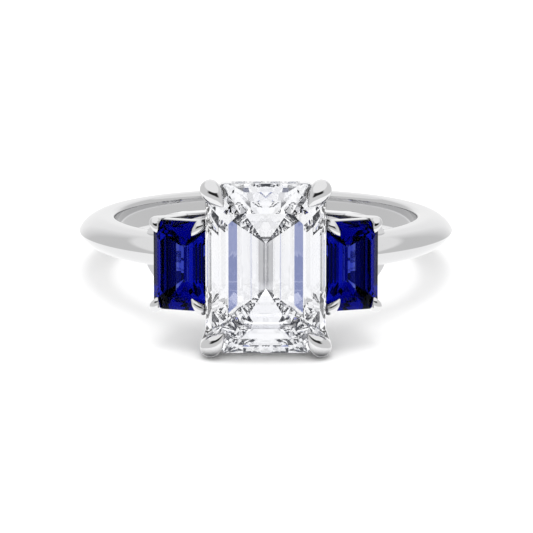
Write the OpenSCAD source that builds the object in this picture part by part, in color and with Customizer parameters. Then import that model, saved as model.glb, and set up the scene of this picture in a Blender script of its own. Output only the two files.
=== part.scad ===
// Three stone ring: a step cut centre stone between two smaller step cut stones, lying on its side

/* [Band] */
// Inside diameter of the band
finger_d = 17.3; // [15:0.1:21]
// Thickness of the band from the finger to its ridge
band_t = 2.07; // [1.8:0.01:2.6]
// Width of the band along the finger
band_w = 1.84; // [1.5:0.02:2.6]
// Slope of each face of the band beside its ridge, in degrees
ridge_slope = 24; // [10:1:35]
// Rounding of the band's two inner edges
comfort_r = 0.3; // [0.15:0.05:0.5]

/* [Gallery] */
// Half the gallery's width along the finger, at its middle
gallery_half_w = 2.6; // [2.4:0.05:3]
// Radius of the gallery's long curved edges
gallery_edge_r = 30; // [20:1:60]
// How far each round end of the gallery lies from the middle
gallery_end_x = 4.6; // [4:0.1:5]
// Width of the gallery's rails
rail_w = 0.65; // [0.5:0.05:0.8]
// Thickness of the gallery's rails
rail_t = 0.8; // [0.6:0.05:1]
// Step from the band's inner wall out to the gallery's
gallery_step = 0.2; // [0.2:0.02:0.4]
// Half the width of the opening under the centre stone
window_half_w = 2.3; // [1.8:0.1:2.6]

/* [Center stone] */
// Width of the centre stone across the ring
center_w = 6.5; // [5.5:0.1:7.5]
// Length of the centre stone along the finger
center_l = 9.25; // [8:0.05:10.5]
// Depth of the centre stone's cut corners
center_corner = 1; // [0.7:0.05:1.3]
// Height of the centre stone's crown
center_crown = 0.92; // [0.7:0.02:1.2]
// Depth of the centre stone's pavilion
center_pavilion = 3.1; // [2.6:0.05:3.4]
// Height of the centre stone's girdle plane above the finger's surface
center_lift = 4.8; // [4.6:0.05:5.5]

/* [Side stones] */
// Width of each side stone round the ring
side_w = 3; // [2.5:0.1:3.4]
// Length of each side stone along the finger
side_l = 4.9; // [4.2:0.1:5.4]
// Depth of the side stones' cut corners
side_corner = 0.5; // [0.3:0.05:0.7]
// Height of the side stones' crowns
side_crown = 0.42; // [0.3:0.02:0.6]
// Depth of the side stones' pavilions
side_pavilion = 1.45; // [1.2:0.05:1.7]
// Height of the side stones' girdle plane above the finger's surface
side_lift = 4.65; // [4.5:0.05:5.2]
// Angle round the finger from the centre stone to each side stone
side_angle = 20.5; // [20:0.5:26]

/* [Cut] */
// Thickness of the stones' girdles
girdle_t = 0.12; // [0.06:0.02:0.2]
// Table width as a share of the stone's width
table_w_share = 0.63; // [0.55:0.01:0.7]
// Table length as a share of the stone's length
table_l_share = 0.68; // [0.6:0.01:0.75]
// Extra inset of the pavilion at the stone's ends, as a share of its half width
end_inset_share = 0.05; // [0:0.01:0.1]

/* [Claws] */
// Radius of the centre claws' round ends
center_claw_r = 0.59; // [0.45:0.01:0.7]
// Reach of the centre claws from their round ends to their tips
center_claw_reach = 1.26; // [0.9:0.02:1.6]
// Radius of the side claws' round ends
side_claw_r = 0.33; // [0.25:0.01:0.4]
// Reach of the side stones' inner claws to their tips
inner_claw_reach = 0.9; // [0.6:0.02:1.1]
// Reach of the side stones' outer claws to their tips
outer_claw_reach = 0.6; // [0.4:0.02:0.8]
// Radius of each claw's tip
claw_tip_r = 0.07; // [0.04:0.01:0.1]
// Distance from a cut corner out to its claw's middle, as a share of the claw's radius
claw_out_share = 0.48; // [0.2:0.02:0.7]

/* [Collars] */
// Distance of the centre collar's sides inside the stone's girdle
collar_side_inset = 0.05; // [0.02:0.01:0.2]
// Distance of the centre collar's ends inside the stone's girdle
collar_end_inset = 0.125; // [0.05:0.005:0.2]
// Depth of the centre collar's top below the girdle plane
collar_drop = 0.85; // [0.7:0.05:1.1]
// Height of the centre collar
collar_h = 1; // [0.9:0.05:1.2]
// Thickness of the centre collar
collar_t = 0.6; // [0.58:0.02:0.8]
// Depth of the side collars' tops below the girdle plane
side_collar_drop = 0.3; // [0.2:0.05:0.5]
// Height of the side collars
side_collar_h = 0.5; // [0.4:0.05:0.7]
// Thickness of the side collars
side_collar_t = 0.42; // [0.3:0.02:0.5]

/* [Accent stones] */
// Diameter of the small round stones in the centre collar
accent_d = 0.78; // [0.6:0.02:0.8]
// Distance between the middles of neighbouring accent stones
accent_pitch = 0.95; // [0.95:0.01:1]
// Depth of an accent stone below its table
accent_depth = 0.46; // [0.4:0.02:0.5]

/* [Fit] */
// Gap between each stone and its metal seat
seat_gap = 0.04; // [0.03:0.01:0.06]

/* [Hidden] */
$fn = 96;

finger_r = finger_d / 2;
ridge_r = finger_r + band_t;
half_band = band_w / 2;

// Each face of the band is one arc from the ridge to where it runs along the band's side
face_r = half_band / (1 - sin(ridge_slope));
face_z = face_r - half_band;
face_x = ridge_r - face_r * cos(ridge_slope);

gallery_r = finger_r + gallery_step;
gallery_top_r = gallery_r + rail_t;
gallery_end_r = gallery_half_w - (gallery_edge_r - sqrt(gallery_edge_r ^ 2 - gallery_end_x ^ 2));
head_reach = ridge_r + center_lift;

center_plane = finger_r + center_lift;
side_plane = finger_r + side_lift;
collar_half_w = center_w / 2 - collar_side_inset;
collar_half_l = center_l / 2 - collar_end_inset;
accents_per_end = 4;
accent_crown_share = 0.26;
accent_table_share = 0.58;
collar_corner_share = 1.15;

// The claws' feet start inside the gallery's rails
foot_share = 0.45;
foot_r = gallery_r + rail_t * foot_share;
center_foot_r = 0.42;
side_foot_r = 0.26;
// How far each side claw's foot stands from the middle of its stone, round the ring
outer_foot_x = 1.2;
inner_foot_x = -1.1;
// A claw's leg is a little narrower than its round end
neck_share = 0.94;
// Heights of the claws' round ends above the girdle planes
center_claw_z = 0.2;
side_claw_z = 0.12;
// Angles of the claws' points from the direction of the finger
center_point_turn = 38.3;
inner_point_turn = 40.5;
outer_point_turn = 23.5;
// Heights of the claws' tips as shares of the crowns
center_tip_share = 0.68;
inner_tip_share = 0.8;
outer_tip_share = 0.7;

// Steps of a crown, from the table down: share of its height left, share of its inset left
crown_steps = [[1, 1], [0.74, 0.61], [0.4, 0.28], [0, 0]];
// Steps of each pavilion, from the girdle down: share of its depth, share of its inset
center_pavilion_steps = [[0, 0], [0.4, 0.3], [0.718, 0.62], [0.945, 0.88]];
side_pavilion_steps = [[0, 0], [0.47, 0.43], [0.795, 0.75], [0.96, 0.91]];

// Where a claw's round end stands beside the corner of a stone, in the stone's own plane
function claw_spot(w, l, corner, r) =
    [for (side = [w, l]) (side - corner) / 2 + r * claw_out_share / sqrt(2)];

center_claw = claw_spot(center_w, center_l, center_corner, center_claw_r);
side_claw = claw_spot(side_w, side_l, side_corner, side_claw_r);

// Middle of the gallery's rail at an angle round the finger
function rail_middle(angle) = gallery_half_w - rail_w / 2
    - gallery_edge_r + sqrt(gallery_edge_r ^ 2 - (foot_r * sin(angle)) ^ 2);

// A claw's foot in the frame of its stone, which stands at the angle given
function claw_foot(angle, plane, x) =
    [x, rail_middle(angle + asin(x / foot_r)), sqrt(foot_r ^ 2 - x ^ 2) - plane];

// The ring lies on its two lower centre claws and on the back of its band
rest_reach = center_plane + center_claw_z + face_x;
rest_rise = center_claw[1] + face_z;
rest_tilt = atan(rest_rise / rest_reach)
    - asin((face_r - center_claw_r) / norm([rest_reach, rest_rise]));
rest_height = face_r + face_x * sin(rest_tilt) - face_z * cos(rest_tilt);
front_reach = (center_plane + center_claw_z) * cos(rest_tilt)
    + center_claw[1] * sin(rest_tilt) + center_claw_r;
rest_shift = (front_reach - ridge_r * cos(rest_tilt)) / 2;

// Corners of a w by l rectangle whose own corners are cut back by c
function cut_rect(w, l, c) = [
    [w / 2 - c, -l / 2], [w / 2, -l / 2 + c], [w / 2, l / 2 - c], [w / 2 - c, l / 2],
    [-w / 2 + c, l / 2], [-w / 2, l / 2 - c], [-w / 2, -l / 2 + c], [-w / 2 + c, -l / 2],
];

function at_height(outline, z) = [for (p = outline) [p[0], p[1], z]];

// Lays the ring down from its own frame, where the finger's axis is Z and the head faces -Y
module at_rest() {
    translate([0, rest_shift, rest_height])
        rotate([-rest_tilt, 0, 0])
            children();
}

// Turns a stone's frame, width X, length Y and face +Z, to its place on the head
module on_head(angle, plane) {
    rotate([0, 0, angle])
        translate([0, -plane, 0])
            rotate([90, 0, 0])
                children();
}

module cone_between(from, to, r_from, r_to) {
    way = to - from;
    length = norm(way);
    translate(from)
        rotate([0, acos(way[2] / length), atan2(way[1], way[0])])
            cylinder(h = length, r1 = r_from, r2 = r_to);
}

// A step cut stone about its girdle plane, grown by gap on every side
module step_cut(w, l, corner, crown, pavilion, pavilion_steps, gap = 0) {
    grown_w = w + 2 * gap;
    grown_l = l + 2 * gap;
    top = girdle_t / 2 + crown + gap;
    bottom = girdle_t / 2 + pavilion + gap;
    table_in = [w * (1 - table_w_share), l * (1 - table_l_share)];
    keel_in = [grown_w, grown_w * (1 + end_inset_share)];
    crown_rings = [for (s = crown_steps)
        at_height(
            cut_rect(
                grown_w - table_in[0] * s[1],
                grown_l - table_in[1] * s[1],
                corner * (1 - (1 - table_w_share) * s[1])
            ),
            girdle_t / 2 + (top - girdle_t / 2) * s[0]
        )];
    pavilion_rings = [for (s = pavilion_steps)
        at_height(
            cut_rect(grown_w - keel_in[0] * s[1], grown_l - keel_in[1] * s[1], corner * (1 - s[1])),
            -girdle_t / 2 - (bottom - girdle_t / 2) * s[0]
        )];
    rings = concat(crown_rings, pavilion_rings);
    count = len(rings);
    keel_y = (grown_l - keel_in[1]) / 2;
    keel = [[0, -keel_y, -bottom], [0, keel_y, -bottom]];
    low = (count - 1) * 8;
    near = count * 8;
    far = near + 1;
    polyhedron(
        points = concat([for (ring = rings) each ring], keel),
        faces = concat(
            [[for (i = [7:-1:0]) i]],
            [for (k = [0:count - 2], i = [0:7])
                [k * 8 + i, k * 8 + (i + 1) % 8, (k + 1) * 8 + (i + 1) % 8, (k + 1) * 8 + i]],
            [
                [low + 7, low, near], [low, low + 1, near], [low + 6, low + 7, near],
                [low + 1, low + 2, far, near], [low + 5, low + 6, near, far],
                [low + 2, low + 3, far], [low + 3, low + 4, far], [low + 4, low + 5, far],
            ]
        )
    );
}

module center_cut(gap = 0) {
    on_head(0, center_plane)
        step_cut(
            center_w, center_l, center_corner, center_crown, center_pavilion, center_pavilion_steps, gap
        );
}

// The left stone has side -1 and the right one side 1
module side_cut(side, gap = 0) {
    on_head(side * side_angle, side_plane)
        step_cut(side_w, side_l, side_corner, side_crown, side_pavilion, side_pavilion_steps, gap);
}

// A small round stone with twelve crown facets, twelve pavilion facets and a table facing +Z
module round_cut() {
    sides = 12;
    girdle = [for (i = [0:sides - 1]) accent_d / 2 * [cos(i * 360 / sides), sin(i * 360 / sides)]];
    table = accent_table_share * girdle;
    crown = accent_crown_share * accent_depth;
    polyhedron(
        points = concat(at_height(table, 0), at_height(girdle, -crown), [[0, 0, -accent_depth]]),
        faces = concat(
            [[for (i = [sides - 1:-1:0]) i]],
            [for (i = [0:sides - 1]) [i, (i + 1) % sides, sides + (i + 1) % sides, sides + i]],
            [for (i = [0:sides - 1]) [sides + i, sides + (i + 1) % sides, 2 * sides]]
        )
    );
}

// The pocket that holds a small round stone, open at the face of the collar
module round_seat() {
    wall_r = accent_d / 2 + seat_gap;
    girdle_z = -accent_crown_share * accent_depth - seat_gap;
    rotate_extrude()
        polygon([[0, collar_h], [wall_r, collar_h], [wall_r, girdle_z], [0, -accent_depth - 2 * seat_gap]]);
}

// Puts a child with its face outwards in place k of the accent row at one end of the collar
module in_collar(end, k) {
    on_head(0, center_plane)
        translate([
            (k - (accents_per_end - 1) / 2) * accent_pitch,
            end * collar_half_l,
            -collar_drop - collar_h / 2
        ])
            rotate([-end * 90, 0, 0])
                children();
}

module band_profile() {
    intersection() {
        translate([face_x, 0]) square([face_r, band_w]);
        translate([face_x, -face_z]) circle(r = face_r);
    }
    intersection() {
        translate([face_x, -band_w]) square([face_r, band_w]);
        translate([face_x, face_z]) circle(r = face_r);
    }
    translate([finger_r, comfort_r - half_band]) square([face_x - finger_r, band_w - 2 * comfort_r]);
    translate([finger_r + comfort_r, -half_band]) square([face_x - finger_r - comfort_r, band_w]);
    for (z = [-1, 1])
        translate([finger_r + comfort_r, z * (half_band - comfort_r)]) circle(r = comfort_r);
}

// The band, open under the centre stone
module band() {
    difference() {
        rotate_extrude() band_profile();
        translate([-window_half_w, -head_reach, -band_w])
            cube([2 * window_half_w, head_reach, 2 * band_w]);
    }
}

// Outline of the gallery seen from the front, drawn in by inset all round
module gallery_outline(inset) {
    intersection() {
        for (z = [-1, 1])
            intersection_for (s = [-1, 1])
                translate([0, s * (gallery_edge_r - gallery_half_w)]) circle(r = gallery_edge_r - inset);
        square([2 * gallery_end_x, 4 * gallery_half_w], center = true);
    }
    for (x = [-1, 1])
        translate([x * gallery_end_x, 0]) circle(r = gallery_end_r - inset);
}

// Two rails along the finger, with a cross bar on each side of the window under the centre stone
module gallery() {
    intersection() {
        difference() {
            cylinder(h = 4 * gallery_half_w, r = gallery_top_r, center = true);
            cylinder(h = 5 * gallery_half_w, r = gallery_r, center = true);
        }
        rotate([90, 0, 0])
            linear_extrude(height = head_reach) {
                difference() {
                    gallery_outline(0);
                    gallery_outline(rail_w);
                }
                for (x = [-1, 1])
                    translate([x * (window_half_w + rail_w / 2), 0])
                        square([rail_w, 2 * gallery_half_w - rail_w], center = true);
            }
    }
}

// A claw: a leg from its foot to its round end, and a point drawn in over the crown to its tip
module claw(foot, ball, tip, r_foot, r_ball) {
    cone_between(foot, ball, r_foot, r_ball * neck_share);
    translate(ball) sphere(r = r_ball);
    cone_between(ball, tip, r_ball, claw_tip_r);
    translate(tip) sphere(r = claw_tip_r);
}

module center_claws() {
    point = center_claw_reach * [-sin(center_point_turn), -cos(center_point_turn)];
    tip_z = center_crown * center_tip_share;
    on_head(0, center_plane)
        for (x = [0, 1], y = [0, 1])
            mirror([x, 0, 0])
                mirror([0, y, 0])
                    claw(
                        claw_foot(0, center_plane, window_half_w),
                        [center_claw[0], center_claw[1], center_claw_z],
                        [center_claw[0] + point[0], center_claw[1] + point[1], tip_z],
                        center_foot_r,
                        center_claw_r
                    );
}

// The claws of the right stone; the left stone's are their mirror image
module side_claws() {
    inner = inner_claw_reach * [sin(inner_point_turn), -cos(inner_point_turn)];
    outer = outer_claw_reach * [-sin(outer_point_turn), -cos(outer_point_turn)];
    for (y = [0, 1])
        mirror([0, y, 0]) {
            claw(
                claw_foot(side_angle, side_plane, inner_foot_x),
                [-side_claw[0], side_claw[1], side_claw_z],
                [-side_claw[0] + inner[0], side_claw[1] + inner[1], side_crown * inner_tip_share],
                side_foot_r,
                side_claw_r
            );
            claw(
                claw_foot(side_angle, side_plane, outer_foot_x),
                [side_claw[0], side_claw[1], side_claw_z],
                [side_claw[0] + outer[0], side_claw[1] + outer[1], side_crown * outer_tip_share],
                side_foot_r,
                side_claw_r
            );
        }
}

// An upright wall of thickness t round a rectangle with cut corners, hanging drop below its plane
module collar(w, l, corner, t, drop, height) {
    corner_in = corner - t * (2 - sqrt(2));
    translate([0, 0, -drop - height])
        linear_extrude(height = height)
            difference() {
                polygon(cut_rect(w, l, corner));
                polygon(cut_rect(w - 2 * t, l - 2 * t, corner_in));
            }
}

module center_collar() {
    on_head(0, center_plane)
        collar(
            2 * collar_half_w, 2 * collar_half_l, center_corner * collar_corner_share,
            collar_t, collar_drop, collar_h
        );
}

module side_collar() {
    collar(
        side_w, side_l, side_corner * collar_corner_share,
        side_collar_t, side_collar_drop, side_collar_h
    );
}

module mounting() {
    color("silver") at_rest() difference() {
        union() {
            band();
            gallery();
            center_claws();
            center_collar();
            on_head(side_angle, side_plane) {
                side_claws();
                side_collar();
            }
            on_head(-side_angle, side_plane) {
                mirror([1, 0, 0]) side_claws();
                side_collar();
            }
        }
        center_cut(seat_gap);
        side_cut(1, seat_gap);
        side_cut(-1, seat_gap);
        for (end = [-1, 1], k = [0:accents_per_end - 1])
            in_collar(end, k) round_seat();
    }
}

module center_stone() {
    color("white", 0.6) at_rest() center_cut();
}

module side_stone(side) {
    color("mediumblue") at_rest() side_cut(side);
}

// Accent stones 1 to 4 stand at the upper end of the collar, and 5 to 8 at the lower end
module accent_stone(number) {
    end = number <= accents_per_end ? 1 : -1;
    color("whitesmoke") at_rest() in_collar(end, (number - 1) % accents_per_end) round_cut();
}

mounting();
center_stone();
side_stone(-1);  // left_side_stone
side_stone(1);  // right_side_stone
accent_stone(1);  // accent_stone_1
accent_stone(2);  // accent_stone_2
accent_stone(3);  // accent_stone_3
accent_stone(4);  // accent_stone_4
accent_stone(5);  // accent_stone_5
accent_stone(6);  // accent_stone_6
accent_stone(7);  // accent_stone_7
accent_stone(8);  // accent_stone_8
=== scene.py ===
import math
import bmesh
import bpy
from mathutils import Matrix, Vector


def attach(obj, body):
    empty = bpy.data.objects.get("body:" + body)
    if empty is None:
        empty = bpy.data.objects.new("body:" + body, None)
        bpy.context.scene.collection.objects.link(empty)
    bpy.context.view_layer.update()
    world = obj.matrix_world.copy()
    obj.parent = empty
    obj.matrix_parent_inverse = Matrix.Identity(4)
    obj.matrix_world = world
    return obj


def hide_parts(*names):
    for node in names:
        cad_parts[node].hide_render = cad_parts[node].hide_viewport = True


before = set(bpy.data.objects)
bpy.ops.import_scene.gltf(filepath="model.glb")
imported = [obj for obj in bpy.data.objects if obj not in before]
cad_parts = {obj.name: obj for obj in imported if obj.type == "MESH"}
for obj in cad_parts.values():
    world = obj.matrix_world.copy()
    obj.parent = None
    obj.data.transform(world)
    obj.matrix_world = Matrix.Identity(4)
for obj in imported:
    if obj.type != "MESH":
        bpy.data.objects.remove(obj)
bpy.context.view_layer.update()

# the ring lies tilted on its lower claws and the back of its band
restSet = {"tilt": 9.83922, "shift": 2.10801, "height": 2.51907}
restPlace = (
    Matrix.Scale(0.001, 4)
    @ Matrix.Translation((0, restSet["shift"], restSet["height"]))
    @ Matrix.Rotation(math.radians(-restSet["tilt"]), 4, "X")
)

# stones: the distance of each girdle from the finger's axis in millimetres, and the side stones' turn
headSet = {"centerPlane": 13.45, "sidePlane": 13.3, "sideAngle": 20.5}

# camera: its height follows the photograph, its distance is only roughly known
cameraSet = {"aim": (0.00004, -0.0107, 0.00477), "far": 0.2, "up": 19.6, "lens": 250}


def addCamera(s):
    data = bpy.data.cameras.new("camera")
    data.lens = s["lens"]
    data.clip_start, data.clip_end = 0.01, 5
    camera = bpy.data.objects.new("camera", data)
    up = math.radians(s["up"])
    camera.location = Vector(s["aim"]) + s["far"] * Vector((0, -math.cos(up), math.sin(up)))
    camera.rotation_euler = (math.pi / 2 - up, 0, 0)
    bpy.context.collection.objects.link(camera)
    bpy.context.scene.camera = camera


addCamera(cameraSet)
print("camera placed")

# studio: plain lights and cards. What the metal mirrors and what the stones gather is set apart.
# Each ring of the sky starts at a height in degrees and runs from the front (0) round to the back (180).
facetGrey = (0.36, 0.38, 0.44)
studioSet = {
    "floorSize": 1.2, "floorColor": 0.94, "light": 1.28, "blend": 4, "lamp": 0.8, "lampSoft": 32,
    "facets": [(0, facetGrey), (78, facetGrey), (88, 1.0), (122, 1.0), (130, facetGrey), (180, facetGrey)],
    "metal": [
        (-90, [(0, 1.1), (180, 1.1)]),
        (-20, [(0, 0.7), (140, 0.7), (160, 1.0), (180, 1.0)]),
        (12, [(0, 0.02), (40, 0.02), (60, 0.7), (140, 0.7), (160, 1.0), (180, 1.0)]),
        (35, [(0, 0.95), (180, 0.95)]),
    ],
    "gem": [
        (-90, [(0, 1.15), (60, 1.15), (90, 0.05), (180, 0.05)]),
        (-5, [
            (0, 1.15), (30, 1.15), (31, (0.3, 0.35, 0.65)), (38, (0.3, 0.35, 0.65)), (40, 0.6),
            (60, 0.05), (180, 0.05),
        ]),
        (5, [
            (0, 1.1), (10, 1.1), (15, 0.03), (35, 0.03), (40, 1.2), (85, 1.2),
            (95, 0.03), (130, 0.03), (140, 1.6), (180, 1.6),
        ]),
        (60, [(0, 1.05), (180, 1.05)]),
    ],
}


def addMath(tree, kind, first, second=None):
    node = tree.nodes.new("ShaderNodeMath")
    node.operation = kind
    for socket, value in zip(node.inputs, (first, second)):
        if isinstance(value, (int, float)):
            socket.default_value = value
        elif value is not None:
            tree.links.new(value, socket)
    return node.outputs[0]


def skyRamp(tree, source, stops, low, high):
    ramp = tree.nodes.new("ShaderNodeValToRGB")
    tree.links.new(source, ramp.inputs[0])
    elements = ramp.color_ramp.elements
    for k, (degrees, grey) in enumerate(stops):
        place = (degrees - low) / (high - low)
        stop = elements[0] if k == 0 else elements[1] if k == 1 else elements.new(place)
        stop.position = place
        stop.color = (*(grey if isinstance(grey, tuple) else (grey,) * 3), 1)
    return ramp.outputs[0]


def skyMix(tree, kind, share, first, second):
    node = tree.nodes.new("ShaderNodeMixRGB")
    node.blend_type = kind
    for socket, value in zip(node.inputs, (share, first, second)):
        if isinstance(value, (int, float, tuple)):
            socket.default_value = value
        else:
            tree.links.new(value, socket)
    return node.outputs[0]


def skyRings(tree, rings, rise, around, blend):
    color = skyRamp(tree, around, rings[0][1], 0, 180)
    for start, stops in rings[1:]:
        share = skyRamp(tree, rise, [(start - blend / 2, 0.0), (start + blend / 2, 1.0)], -90, 90)
        color = skyMix(tree, "MIX", share, color, skyRamp(tree, around, stops, 0, 180))
    return color


def addStudio(s):
    bpy.ops.mesh.primitive_plane_add(size=s["floorSize"])
    floor = bpy.context.object
    floor.name = "floor"
    floor.visible_transmission = False
    floor.visible_glossy = False
    mat = bpy.data.materials.new("floorPaper")
    mat.use_nodes = True
    shader = mat.node_tree.nodes["Principled BSDF"]
    shader.inputs["Base Color"].default_value = (*[s["floorColor"]] * 3, 1)
    shader.inputs["Roughness"].default_value = 0.7
    floor.data.materials.append(mat)
    bpy.ops.object.light_add(type="SUN", location=(0, 0, 0.1))  # overhead, for the soft shadow below the ring
    lamp = bpy.context.object
    lamp.name = "overheadLamp"
    lamp.data.energy = s["lamp"]
    lamp.data.angle = math.radians(s["lampSoft"])
    lamp.visible_glossy = False
    lamp.visible_transmission = False
    world = bpy.data.worlds.new("studio")
    bpy.context.scene.world = world
    world.use_nodes = True
    tree = world.node_tree
    coord = tree.nodes.new("ShaderNodeTexCoord")
    split = tree.nodes.new("ShaderNodeSeparateXYZ")
    tree.links.new(coord.outputs["Generated"], split.inputs[0])
    away = addMath(tree, "ABSOLUTE", split.outputs["X"])
    front = addMath(tree, "MULTIPLY", split.outputs["Y"], -1.0)
    around = addMath(tree, "MULTIPLY", addMath(tree, "ARCTAN2", away, front), 1 / math.pi)
    rise = addMath(tree, "MULTIPLY", addMath(tree, "ARCSINE", split.outputs["Z"]), 1 / math.pi)
    rise = addMath(tree, "ADD", rise, 0.5)

    metal = skyRings(tree, s["metal"], rise, around, s["blend"])
    gem = skyRings(tree, s["gem"], rise, around, s["blend"])
    path = tree.nodes.new("ShaderNodeLightPath")
    facets = skyRamp(tree, around, s["facets"], 0, 180)  # the stones' facets mirror less than the metal
    metal = skyMix(tree, "MULTIPLY", path.outputs["Is Singular Ray"], metal, facets)
    color = skyMix(tree, "MIX", path.outputs["Is Glossy Ray"], (*[s["light"]] * 3, 1), metal)
    color = skyMix(tree, "MIX", path.outputs["Is Transmission Ray"], color, gem)
    tree.links.new(color, tree.nodes["Background"].inputs["Color"])


addStudio(studioSet)
scene = bpy.context.scene
scene.view_settings.view_transform = "Standard"
scene.cycles.max_bounces = 24
scene.cycles.glossy_bounces = 20
scene.cycles.transmission_bounces = 20
print("studio lit")

# materials: pattern scales count per metre, reaches and steps are in metres
# painted shade: a dark metal for the claw legs' faces that lie under the stones
underStoneShadeSet = {
    "color": (0.17, 0.17, 0.18), "shade": (0.05, 0.05, 0.055), "roughness": (0.2, 0.4),
    "brushScale": 2600, "cloudScale": 3500, "bump": 0.15,
}
metalSet = {
    "color": (0.93, 0.93, 0.94), "shade": (0.9, 0.9, 0.915), "roughness": (0.035, 0.075),
    "brushScale": 2200, "cloudScale": 260, "bump": 0.02,
}
# painted shade: the band gets a darker copy of the same metal, so it mirrors the studio dimmer
bandMetalSet = dict(metalSet, color=(0.74, 0.74, 0.745), shade=(0.72, 0.72, 0.73))
# claws and side collars: a dimmer copy of the metal, with painted shade darkening it in nooks and under the
# stones
shadedNookSet = dict(
    metalSet, color=(0.82, 0.82, 0.825), shade=(0.8, 0.8, 0.81), roughness=(0.02, 0.04),
    nookShadeReach=0.0012, nookShadeColor=(0.02, 0.02, 0.025), nookShade=(0.3, 0.85),
)
clearSet = {"color": (1, 1, 1), "tint": (0.965, 0.97, 1.0), "ior": 2.417, "cloudScale": 420}
blueSet = {
    "color": (0.4, 0.48, 1.0), "zone": (0.3, 0.38, 0.96), "soak": (0.082, 0.2, 0.788), "density": 1400,
    "ior": 1.77, "zoneScale": 330, "shine": 0.05,
    "angle": headSet["sideAngle"], "plane": headSet["sidePlane"] / 1000,
    "stepDepth": (-0.0018, -0.0003), "edge": 0.00001,
    "step": ((0.00032, 0.00105), (-0.00086, -0.00015)), "stepColor": (0, 0, 0),
    "keel": (-0.00014, 0.00037), "keelLightColor": (1, 1, 1),
}


def newMaterial(name):
    mat = bpy.data.materials.new(name)
    mat.use_nodes = True
    return mat, mat.node_tree, mat.node_tree.nodes["Principled BSDF"]


def addNoise(tree, scale, detail=3.0, rough=0.5, squash=(1, 1, 1)):
    coord = tree.nodes.new("ShaderNodeTexCoord")
    mapping = tree.nodes.new("ShaderNodeMapping")
    mapping.inputs["Scale"].default_value = squash
    noise = tree.nodes.new("ShaderNodeTexNoise")
    noise.inputs["Scale"].default_value = scale
    noise.inputs["Detail"].default_value = detail
    noise.inputs["Roughness"].default_value = rough
    tree.links.new(coord.outputs["Object"], mapping.inputs["Vector"])
    tree.links.new(mapping.outputs[0], noise.inputs["Vector"])
    return noise.outputs["Fac"]


def addRamp(tree, source, stops, target):
    ramp = tree.nodes.new("ShaderNodeValToRGB")
    tree.links.new(source, ramp.inputs[0])
    for stop, (place, color) in zip(ramp.color_ramp.elements, stops):
        stop.position = place
        stop.color = (*(color if isinstance(color, tuple) else (color,) * 3), 1)
    tree.links.new(ramp.outputs[0], target)


def makeMetal(name, s):
    mat, tree, shader = newMaterial(name)
    shader.inputs["Metallic"].default_value = 1
    cloud = addNoise(tree, s["cloudScale"])
    addRamp(tree, cloud, [(0.3, s["shade"]), (0.65, s["color"])], shader.inputs["Base Color"])
    brush = addNoise(tree, s["brushScale"], detail=2, squash=(1, 1, 0.2))  # faint lines of the last polish
    low, high = s["roughness"]
    addRamp(tree, brush, [(0.3, low), (0.7, high)], shader.inputs["Roughness"])
    bump = tree.nodes.new("ShaderNodeBump")
    bump.inputs["Strength"].default_value = s["bump"]
    bump.inputs["Distance"].default_value = 0.00002
    tree.links.new(brush, bump.inputs["Height"])
    tree.links.new(bump.outputs[0], shader.inputs["Normal"])
    return mat


# mixes a painted colour over the base colour by a share: used for painted shade and painted light
def paintOver(mat, share, color):
    tree = mat.node_tree
    target = tree.nodes["Principled BSDF"].inputs["Base Color"]
    paintedOver = tree.nodes.new("ShaderNodeMixRGB")
    tree.links.new(target.links[0].from_socket, paintedOver.inputs["Color1"])
    paintedOver.inputs["Color2"].default_value = (*color, 1)
    tree.links.new(share, paintedOver.inputs["Fac"])
    tree.links.new(paintedOver.outputs[0], target)


def makeShadedNookMetal(name, s):
    mat = makeMetal(name, s)
    tree = mat.node_tree
    nookShade = tree.nodes.new("ShaderNodeAmbientOcclusion")  # painted shade: the base colour darkens in nooks where other parts lie close
    nookShade.inputs["Distance"].default_value = s["nookShadeReach"]
    nookShade.samples = 8
    ramp = tree.nodes.new("ShaderNodeMapRange")
    for socket, value in zip(list(ramp.inputs)[1:5], (*s["nookShade"], 1.0, 0.0)):
        socket.default_value = value
    tree.links.new(nookShade.outputs["AO"], ramp.inputs[0])
    paintOver(mat, ramp.outputs[0], s["nookShadeColor"])
    return mat


# where a point lies on the nearer side stone: across it and above its girdle, in metres
def sideSpot(tree, s):
    coord = tree.nodes.new("ShaderNodeTexCoord")
    upright = tree.nodes.new("ShaderNodeMapping")
    back = restPlace.inverted()
    upright.inputs["Location"].default_value = back.translation * 0.001
    upright.inputs["Rotation"].default_value = back.to_euler()
    tree.links.new(coord.outputs["Object"], upright.inputs["Vector"])
    split = tree.nodes.new("ShaderNodeSeparateXYZ")
    tree.links.new(upright.outputs[0], split.inputs[0])
    join = tree.nodes.new("ShaderNodeCombineXYZ")
    tree.links.new(addMath(tree, "ABSOLUTE", split.outputs["X"]), join.inputs["X"])
    tree.links.new(split.outputs["Y"], join.inputs["Y"])
    tree.links.new(split.outputs["Z"], join.inputs["Z"])
    turned = tree.nodes.new("ShaderNodeMapping")
    turned.inputs["Rotation"].default_value = (0, 0, -math.radians(s["angle"]))
    tree.links.new(join.outputs[0], turned.inputs["Vector"])
    spot = tree.nodes.new("ShaderNodeSeparateXYZ")
    tree.links.new(turned.outputs[0], spot.inputs[0])
    above = addMath(tree, "SUBTRACT", addMath(tree, "MULTIPLY", spot.outputs["Y"], -1.0), s["plane"])
    return spot.outputs["X"], above


def between(tree, value, low, high, soft):
    rise = tree.nodes.new("ShaderNodeMapRange")
    fall = tree.nodes.new("ShaderNodeMapRange")
    ends = ((rise, (low - soft, low + soft, 0.0, 1.0)), (fall, (high - soft, high + soft, 1.0, 0.0)))
    for node, numbers in ends:
        for socket, number in zip(list(node.inputs)[1:5], numbers):
            socket.default_value = number
        tree.links.new(value, node.inputs[0])
    return addMath(tree, "MULTIPLY", rise.outputs[0], fall.outputs[0])


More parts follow.
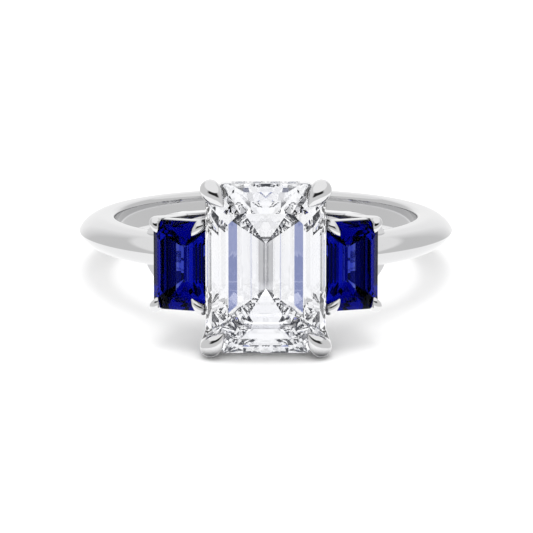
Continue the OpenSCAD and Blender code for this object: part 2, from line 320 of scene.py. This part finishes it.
def makeClear(s):
    mat, tree, shader = newMaterial("clearStone")
    shader.inputs["Roughness"].default_value = 0
    shader.inputs["IOR"].default_value = s["ior"]
    shader.inputs["Transmission Weight"].default_value = 1
    cloud = addNoise(tree, s["cloudScale"], detail=2)
    addRamp(tree, cloud, [(0.42, s["tint"]), (0.6, s["color"])], shader.inputs["Base Color"])
    return mat


def makeBlue(s):
    mat, tree, shader = newMaterial("blueStone")
    shader.inputs["Roughness"].default_value = 0
    shader.inputs["IOR"].default_value = s["ior"]
    shader.inputs["Transmission Weight"].default_value = 1
    shader.inputs["Specular Tint"].default_value = (*[s["shine"]] * 3, 1)
    zone = addNoise(tree, s["zoneScale"], detail=1, squash=(2.5, 1, 0.6))  # straight zones of deeper colour
    addRamp(tree, zone, [(0.42, s["zone"]), (0.58, s["color"])], shader.inputs["Base Color"])
    across, above = sideSpot(tree, s)  # painted shade: the middle step of the pavilion is painted black, a dark patch seen through the stone
    step = addMath(tree, "ADD", *[between(tree, across, *ends, s["edge"]) for ends in s["step"]])
    step = addMath(tree, "MULTIPLY", step, between(tree, above, *s["stepDepth"], s["edge"]))
    paintOver(mat, step, s["stepColor"])
    paintOver(mat, between(tree, across, *s["keel"], s["edge"]), s["keelLightColor"])  # painted light: the keel is painted untinted, a paler window through the stone
    soak = tree.nodes.new("ShaderNodeVolumeAbsorption")
    soak.inputs["Color"].default_value = (*s["soak"], 1)
    soak.inputs["Density"].default_value = s["density"]
    tree.links.new(soak.outputs[0], tree.nodes["Material Output"].inputs["Volume"])
    return mat


polishedMetal = makeMetal("polishedMetal", metalSet)
shadedNookMetal = makeShadedNookMetal("shadedNookMetal", shadedNookSet)
bandMetal = makeMetal("bandMetal", bandMetalSet)
underStoneShadeMetal = makeMetal("underStoneShadeMetal", underStoneShadeSet)
clearStone = makeClear(clearSet)
blueStone = makeBlue(blueSet)
print("materials mixed")


# the metal is modelled in millimetres, finger along Z and head towards -Y, and laid down at the end
def clearSelection():
    bpy.ops.object.select_all(action="DESELECT")


def editMode():
    bpy.ops.object.mode_set(mode="EDIT")
    bpy.ops.mesh.select_all(action="DESELECT")


def objectMode():
    bpy.ops.object.mode_set(mode="OBJECT")


def pick(kind, test):
    bpy.ops.mesh.select_mode(type=kind)
    bpy.ops.mesh.select_all(action="DESELECT")
    mesh = bpy.context.object.data
    bm = bmesh.from_edit_mesh(mesh)
    for part in {"VERT": bm.verts, "EDGE": bm.edges, "FACE": bm.faces}[kind]:
        if test(part):
            part.select_set(True)
    bm.select_flush_mode()
    bmesh.update_edit_mesh(mesh)


def bothEnds(edge, test):
    return all(test(v.co) for v in edge.verts)


def useModifier(obj, kind, **settings):
    modifier = obj.modifiers.new(kind.lower(), kind)
    for name, value in settings.items():
        setattr(modifier, name, value)
    bpy.context.view_layer.objects.active = obj
    bpy.ops.object.modifier_apply(modifier=modifier.name)


# where a stone stands: its width along X, its length along Y and its table facing up
def onHead(angle, plane):
    return (
        Matrix.Rotation(math.radians(angle), 4, "Z")
        @ Matrix.Translation((0, -plane, 0))
        @ Matrix.Rotation(math.pi / 2, 4, "X")
    )


def sidePlace(side):
    return onHead(side * headSet["sideAngle"], headSet["sidePlane"])


# gap and nodeWeld are in metres, as the nodes and the laid metal are; metalWeld is in millimetres
seatSet = {"gap": 0.00004, "nodeWeld": 1e-7, "metalWeld": 1e-4}


def weld(obj, reach):
    clearSelection()
    obj.select_set(True)
    bpy.context.view_layer.objects.active = obj
    editMode()
    bpy.ops.mesh.select_all(action="SELECT")
    bpy.ops.mesh.remove_doubles(threshold=reach)
    bpy.ops.mesh.normals_make_consistent(inside=False)
    objectMode()


# cuts a stone's seat out of metal that isn't laid down yet; place is where that metal will stand
def cutSeat(obj, place, node, s):
    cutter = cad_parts[node].copy()
    cutter.data = cutter.data.copy()
    bpy.context.collection.objects.link(cutter)
    weld(cutter, s["nodeWeld"])  # the node's facets come with corners of their own
    useModifier(cutter, "DISPLACE", strength=s["gap"], mid_level=0)
    cutter.matrix_world = (restPlace @ place).inverted() @ cutter.matrix_world
    # use_self, because a centre claw's tube crosses itself where it bends
    useModifier(obj, "BOOLEAN", object=cutter, operation="DIFFERENCE", solver="EXACT", use_self=True)
    bpy.data.objects.remove(cutter)


def layDown(obj, place=Matrix(), smooth=35, metal=polishedMetal, seats=()):
    clearSelection()
    obj.select_set(True)
    bpy.context.view_layer.objects.active = obj
    bpy.ops.object.transform_apply(location=True, rotation=True, scale=True)
    weld(obj, seatSet["metalWeld"])
    for node in seats:
        cutSeat(obj, place, node, seatSet)
    obj.select_set(True)
    bpy.context.view_layer.objects.active = obj
    obj.matrix_world = restPlace @ place @ obj.matrix_world
    bpy.ops.object.transform_apply(location=True, rotation=True, scale=True)
    weld(obj, seatSet["nodeWeld"])
    bpy.ops.object.shade_smooth_by_angle(angle=math.radians(smooth))
    if metal:
        obj.data.materials.clear()
        obj.data.materials.append(metal)
    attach(obj, "root")
    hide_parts("mounting")
    print(obj.name, "laid down")


# band: a five cornered section spun round the finger, its outer faces rounded up to the ridge
bandSet = {
    "fingerR": 8.65, "cornerR": 10.31, "ridgeR": 10.72, "width": 1.84, "steps": 192,
    "faceRound": 0.96, "comfort": 0.3, "ridgeSoft": 0.045, "windowHalf": 2.3,
}


def makeBand(s):
    clearSelection()
    middle = (s["fingerR"] + s["cornerR"]) / 2
    bpy.ops.mesh.primitive_plane_add(size=1, location=(middle, 0, 0), rotation=(math.pi / 2, 0, 0))
    band = bpy.context.object
    band.name = "band"
    band.scale = (s["cornerR"] - s["fingerR"], s["width"], 1)
    bpy.ops.object.transform_apply(location=True, rotation=True, scale=True)
    editMode()
    pick("EDGE", lambda e: bothEnds(e, lambda p: p.x > s["cornerR"] - 0.01))
    bpy.ops.mesh.subdivide(number_cuts=1)
    pick("VERT", lambda v: v.co.x > s["cornerR"] - 0.01 and abs(v.co.z) < 0.01)
    bpy.ops.transform.translate(value=(s["ridgeR"] - s["cornerR"], 0, 0))
    bpy.ops.mesh.select_all(action="SELECT")
    bpy.ops.mesh.delete(type="ONLY_FACE")
    bpy.ops.mesh.select_all(action="SELECT")
    bpy.ops.mesh.spin(steps=s["steps"], angle=2 * math.pi, center=(0, 0, 0), axis=(0, 0, 1))
    bpy.ops.mesh.select_all(action="SELECT")
    bpy.ops.mesh.remove_doubles(threshold=0.001)
    bpy.ops.mesh.normals_make_consistent(inside=False)
    edge = s["width"] / 2 - 0.01
    out = s["cornerR"] - 0.05

    def onEdge(e, test):
        return bothEnds(e, lambda p: abs(p.z) > edge and test(math.hypot(p.x, p.y))) \
            and e.verts[0].co.z * e.verts[1].co.z > 0

    pick("EDGE", lambda e: onEdge(e, lambda r: r > out))
    bpy.ops.mesh.bevel(offset=s["faceRound"], segments=14, profile=0.5, clamp_overlap=False)
    pick("EDGE", lambda e: onEdge(e, lambda r: r < s["fingerR"] + 0.02))
    bpy.ops.mesh.bevel(offset=s["comfort"], segments=6, profile=0.5)
    pick("EDGE", lambda e: bothEnds(e, lambda p: math.hypot(p.x, p.y) > s["ridgeR"] - 0.01))
    bpy.ops.mesh.bevel(offset=s["ridgeSoft"], segments=3, profile=0.5)
    # the opening under the centre stone
    for x in (-s["windowHalf"], s["windowHalf"]):
        pick("FACE", lambda f: f.calc_center_median().y < -6)
        bpy.ops.mesh.bisect(plane_co=(x, 0, 0), plane_no=(1, 0, 0))
    pick("FACE", lambda f: f.calc_center_median().y < 0 and abs(f.calc_center_median().x) < s["windowHalf"])
    bpy.ops.mesh.delete(type="FACE")
    for side in (-1, 1):
        pick("EDGE", lambda e: e.is_boundary and e.verts[0].co.x * side > 0)
        bpy.ops.mesh.edge_face_add()
    objectMode()
    layDown(band, metal=bandMetal)


makeBand(bandSet)

# gallery: a long ring of rail bent to the finger, with a cross bar on each side of the opening
gallerySet = {
    "halfWidth": 2.6, "edgeR": 30, "endX": 4.6, "rail": 0.65, "outerR": 9.65, "thick": 0.8,
    "barX": 2.625, "barHalf": 2.0, "soft": 0.07, "flatY": -14,
}


def makeGallery(s):
    clearSelection()
    endR = s["halfWidth"] - s["edgeR"] + math.sqrt(s["edgeR"] ** 2 - s["endX"] ** 2)
    bpy.ops.mesh.primitive_circle_add(
        vertices=64, radius=endR, fill_type="NGON", location=(0, s["flatY"], 0), rotation=(math.pi / 2, 0, 0)
    )
    gallery = bpy.context.object
    gallery.name = "gallery"
    bpy.ops.object.transform_apply(location=True, rotation=True, scale=True)
    editMode()
    for side in (-1, 1):
        pick("VERT", lambda v: v.co.x * side > 0.001)
        bpy.ops.transform.translate(value=(side * s["endX"], 0, 0))
    pick("EDGE", lambda e: abs(e.verts[0].co.x - e.verts[1].co.x) > 3)
    bpy.ops.mesh.subdivide(number_cuts=16)
    bm = bmesh.from_edit_mesh(gallery.data)
    for v in bm.verts:  # the long edges bow out a little
        if abs(v.co.x) < s["endX"]:
            reach = s["halfWidth"] - s["edgeR"] + math.sqrt(s["edgeR"] ** 2 - v.co.x ** 2)
            v.co.z = math.copysign(reach, v.co.z)
    bmesh.update_edit_mesh(gallery.data)
    pick("FACE", lambda f: True)
    bpy.ops.mesh.inset(thickness=s["rail"])
    bpy.ops.mesh.delete(type="FACE")
    for side in (-1, 1):
        middle = (side * s["barX"], s["flatY"], 0)
        bpy.ops.mesh.primitive_plane_add(size=1, location=middle, rotation=(math.pi / 2, 0, 0))
        bpy.ops.transform.resize(value=(s["rail"], 1, 2 * s["barHalf"]), center_override=middle)
        bpy.ops.mesh.subdivide(number_cuts=3)
    objectMode()
    clearSelection()
    bpy.ops.mesh.primitive_cylinder_add(vertices=512, radius=s["outerR"], depth=12)
    former = bpy.context.object
    useModifier(
        gallery, "SHRINKWRAP", target=former, wrap_method="PROJECT", use_project_y=True,
        use_project_x=False, use_project_z=False, use_positive_direction=True, use_negative_direction=False,
    )
    bpy.data.objects.remove(former)
    useModifier(gallery, "SOLIDIFY", thickness=s["thick"], offset=-1)
    useModifier(gallery, "BEVEL", width=s["soft"], segments=3, limit_method="ANGLE", angle_limit=0.7)
    layDown(gallery)


makeGallery(gallerySet)

# collar: an upright wall under a stone's girdle, with pockets for small stones in the ends of the big one
collarSet = {
    "center": {"w": 6.4, "l": 9.0, "corner": 1.15, "thick": 0.6, "top": -0.85, "height": 1.0},
    "side": {"w": 3.0, "l": 4.9, "corner": 0.575, "thick": 0.42, "top": -0.3, "height": 0.5},
    "soft": 0.04,
    "pocket": {"r": 0.43, "wall": 0.16, "deep": 0.54, "pitch": 0.95, "row": 4},
}


def makeCollar(name, s, soft):
    clearSelection()
    bpy.ops.mesh.primitive_cube_add(size=1, location=(0, 0, s["top"] - s["height"] / 2))
    collar = bpy.context.object
    collar.name = name
    collar.scale = (s["w"], s["l"], s["height"])
    bpy.ops.object.transform_apply(location=True, rotation=True, scale=True)
    editMode()
    pick("EDGE", lambda e: abs(e.verts[0].co.z - e.verts[1].co.z) > 0.1)
    bpy.ops.mesh.bevel(offset=s["corner"], offset_type="WIDTH", segments=1)
    for face in (-1, 1):
        pick("FACE", lambda f: f.normal.z * face > 0.9)
        bpy.ops.mesh.inset(thickness=s["thick"])
        bpy.ops.mesh.delete(type="FACE")
    pick("EDGE", lambda e: e.is_boundary)
    bpy.ops.mesh.bridge_edge_loops()
    objectMode()
    useModifier(collar, "BEVEL", width=soft, segments=2, limit_method="ANGLE", angle_limit=0.5)
    return collar


def cutPockets(collar, s, p):
    clearSelection()
    bpy.ops.mesh.primitive_cone_add(vertices=32, radius1=p["r"], radius2=0, depth=p["deep"] - p["wall"])
    cutter = bpy.context.object
    editMode()
    pick("FACE", lambda f: f.normal.z < -0.9)
    bpy.ops.mesh.extrude_region_move(TRANSFORM_OT_translate={"value": (0, 0, -p["wall"] - 0.5)})
    bpy.ops.mesh.select_all(action="SELECT")
    bpy.ops.transform.translate(value=(0, 0, (p["deep"] - p["wall"]) / 2 + p["wall"]))
    objectMode()
    made = []
    for end in (-1, 1):
        for k in range(p["row"]):
            clearSelection()
            cutter.select_set(True)
            bpy.context.view_layer.objects.active = cutter
            bpy.ops.object.duplicate()
            copy = bpy.context.object
            x = (k - (p["row"] - 1) / 2) * p["pitch"]
            copy.matrix_world = (
                Matrix.Translation((x, end * s["l"] / 2, s["top"] - s["height"] / 2))
                @ Matrix.Rotation(end * math.pi / 2, 4, "X")
            )
            made.append(copy)
    bpy.data.objects.remove(cutter)
    clearSelection()
    for copy in made:
        copy.select_set(True)
    bpy.context.view_layer.objects.active = made[0]
    bpy.ops.object.join()
    useModifier(collar, "BOOLEAN", object=made[0], operation="DIFFERENCE", solver="EXACT")
    bpy.data.objects.remove(made[0])


centerCollar = makeCollar("centerCollar", collarSet["center"], collarSet["soft"])
cutPockets(centerCollar, collarSet["center"], collarSet["pocket"])
layDown(centerCollar, onHead(0, headSet["centerPlane"]), seats=("center_stone",))
for side, turn in (("left", -1), ("right", 1)):
    collar = makeCollar(side + "Collar", collarSet["side"], collarSet["soft"])
    layDown(collar, sidePlace(turn), metal=shadedNookMetal, seats=(side + "_side_stone", "center_stone"))

# claws: a tapered tube bent over the corner of its stone; each point is x, y, z and radius
clawSet = {
    "center": [
        (2.3, 2.275, -4.24, 0.42), (2.6, 3.2, -2.2, 0.46), (2.9, 4.05, -0.8, 0.55), (3.0, 4.3, -0.15, 0.577),
        (2.98, 4.275, 0.16, 0.577), (2.74, 3.99, 0.36, 0.54), (2.5, 3.72, 0.52, 0.33), (2.25, 3.44, 0.62, 0.04),
    ],
    "inner": [
        (-1.1, 2.2, -4.15, 0.26), (-1.2, 2.25, -2.2, 0.28), (-1.33, 2.3, -0.5, 0.31), (-1.37, 2.32, 0.05, 0.335),
        (-1.33, 2.29, 0.28, 0.33), (-1.1, 2.02, 0.44, 0.24), (-0.93, 1.82, 0.42, 0.14), (-0.78, 1.64, 0.34, 0.03),
    ],
    "outer": [
        (1.2, 1.96, -4.2, 0.26), (1.25, 2.1, -2.2, 0.28), (1.34, 2.27, -0.5, 0.31), (1.37, 2.32, 0.05, 0.335),
        (1.35, 2.28, 0.26, 0.33), (1.25, 2.06, 0.36, 0.24), (1.18, 1.88, 0.36, 0.14), (1.12, 1.76, 0.3, 0.03),
    ],
}


def makeClaw(name, points):
    clearSelection()
    bpy.ops.curve.primitive_nurbs_path_add()
    claw = bpy.context.object
    claw.name = name
    claw.data.materials.append(shadedNookMetal)
    claw.data.materials.append(underStoneShadeMetal)
    curve = claw.data
    curve.splines.clear()
    spline = curve.splines.new("NURBS")
    spline.points.add(len(points) - 1)
    for knot, (x, y, z, r) in zip(spline.points, points):
        knot.co = (x, y, z, 1)
        knot.radius = r
    spline.order_u = 3
    spline.use_endpoint_u = True
    spline.resolution_u = 10
    curve.dimensions = "3D"
    curve.bevel_depth = 1
    curve.bevel_resolution = 8
    curve.use_fill_caps = True
    bpy.ops.object.convert(target="MESH")
    claw = bpy.context.object
    editMode()
    way = Vector((-points[0][0], -points[0][1], 0)).normalized()  # from the leg to the stone's middle
    # painted shade: the leg's faces below the girdle that look at the stone get the dark metal
    pick("FACE", lambda f: f.calc_center_median().z < -0.1 and f.normal.dot(way) > -0.2)
    claw.active_material_index = 1
    bpy.ops.object.material_slot_assign()
    objectMode()
    return claw


def placeClaws(prefix, points, place):
    for left in (-1, 1):
        for up in (1, -1):
            name = prefix + ("Left" if left < 0 else "Right") + ("High" if up > 0 else "Low")
            claw = makeClaw(name, points)
            claw.matrix_world = Matrix.Diagonal((left, up, 1, 1))
            seats = ["center_stone"]
            if prefix != "centerClaw":
                seats.append("left_side_stone" if left < 0 else "right_side_stone")
            layDown(claw, place(left), smooth=60, metal=None, seats=seats)


placeClaws("centerClaw", clawSet["center"], lambda left: onHead(0, headSet["centerPlane"]))
for kind in ("inner", "outer"):
    placeClaws(kind + "Claw", clawSet[kind], sidePlace)


def dress(node, mat):
    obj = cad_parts[node]
    obj.data.materials.clear()
    obj.data.materials.append(mat)


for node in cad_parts:
    if node == "mounting":
        dress(node, polishedMetal)
    elif "side" in node:
        dress(node, blueStone)
    else:
        dress(node, clearStone)
print("stones dressed")
